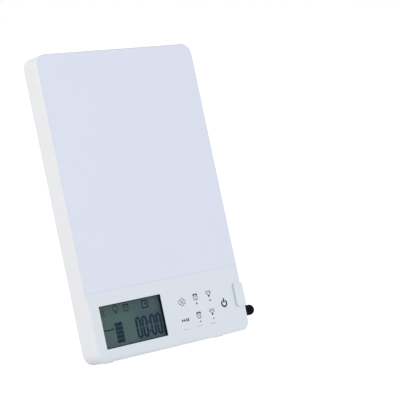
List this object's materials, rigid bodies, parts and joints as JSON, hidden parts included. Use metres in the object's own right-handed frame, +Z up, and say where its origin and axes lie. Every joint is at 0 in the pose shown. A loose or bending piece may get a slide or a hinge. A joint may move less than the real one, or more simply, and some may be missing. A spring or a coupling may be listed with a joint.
{
  "type": "light therapy lamp",
  "caption": "Tablet-shaped light therapy lamp with an opal light panel, a display, touch keys and a fold-out leg held by a side lock knob.",
  "frame": {"origin": "middle of the lamp's outline on the table, between the feet and the leg's pad", "axes": "+Z up, +X to the right of the lamp's face, +Y towards its back; the face looks along -Y and leans back"},
  "size_m": [0.221, 0.1124, 0.2927],
  "materials": {
    "housing_plastic": "fine satin moulded finish",
    "cover_plastic": "fine spark-eroded texture",
    "leg_plastic": "fine spark-eroded texture",
    "clasp_plastic": "semi-gloss",
    "diffuser_acrylic": "satin opal",
    "light_film": "frosted",
    "light_guide_acrylic": "polished clear",
    "reflector_film": "satin white",
    "aluminium_sheet": "mill finish",
    "led_board_white": "white solder mask",
    "led_phosphor": "clear over yellow phosphor",
    "lead_insulation": "satin",
    "display_window": "polished clear",
    "display_glass": "satin polariser",
    "contact_rubber": "satin",
    "circuit_board": "satin solder mask",
    "chip_black": "satin",
    "ferrite": "matt ceramic",
    "capacitor_sleeve": "gloss",
    "foam_grey": "matt foam",
    "screw_steel": "zinc plated",
    "shaft_steel": "ground",
    "inlet_brass": "nickel flash",
    "foot_rubber": "translucent satin",
    "bracket_plastic": "satin nylon",
    "washer_fibre": "matt fibre",
    "knob_black": "satin soft-touch"
  },
  "bodies": {
    "lamp": {"front_housing": "housing_plastic", "diffuser_panel": "diffuser_acrylic", "diffuser_film": "light_film", "light_guide": "light_guide_acrylic", "reflector_sheet": "reflector_film", "backing_plate": "aluminium_sheet", "left_led_board": "led_board_white", "right_led_board": "led_board_white", "left_leds": "led_phosphor", "right_leds": "led_phosphor", "led_leads": "lead_insulation", "display_gasket": "contact_rubber", "lcd_window": "display_window", "lcd_glass": "display_glass", "lcd_contact_strip": "contact_rubber", "control_board": "circuit_board", "control_chip": "chip_black", "driver_coil": "ferrite", "board_capacitors": "capacitor_sleeve", "alarm_buzzer": "chip_black", "touch_pads": "foam_grey", "board_screws": "screw_steel", "power_inlet": "chip_black", "inlet_pin": "inlet_brass", "back_cover": "cover_plastic", "cover_screws": "screw_steel", "edge_feet": "foot_rubber", "tilt_shaft": "shaft_steel", "left_shaft_bracket": "bracket_plastic", "right_shaft_bracket": "bracket_plastic", "bracket_screws": "screw_steel", "friction_washers": "washer_fibre", "shaft_clip": "shaft_steel", "side_bushing": "bracket_plastic", "edge_clasp": "clasp_plastic", "clasp_screw": "screw_steel"},
    "leg": {"stand_leg": "leg_plastic", "leg_cover": "leg_plastic", "leg_pad": "foot_rubber"},
    "knob": {"lock_knob": "knob_black", "knob_insert": "inlet_brass"}
  },
  "joints": [
    {"name": "leg_fold", "type": "hinge", "parent": "lamp", "child": "leg", "pos_m": [-0.01105, -0.0375, 0.02056], "axis": [1, 0, 0], "range_deg": [0, 79.2]},
    {"name": "knob_turn", "type": "hinge", "parent": "lamp", "child": "knob", "pos_m": [0.09395, -0.0375, 0.02056], "axis": [1, 0, 0], "range_deg": [0, 300]}
  ]
}
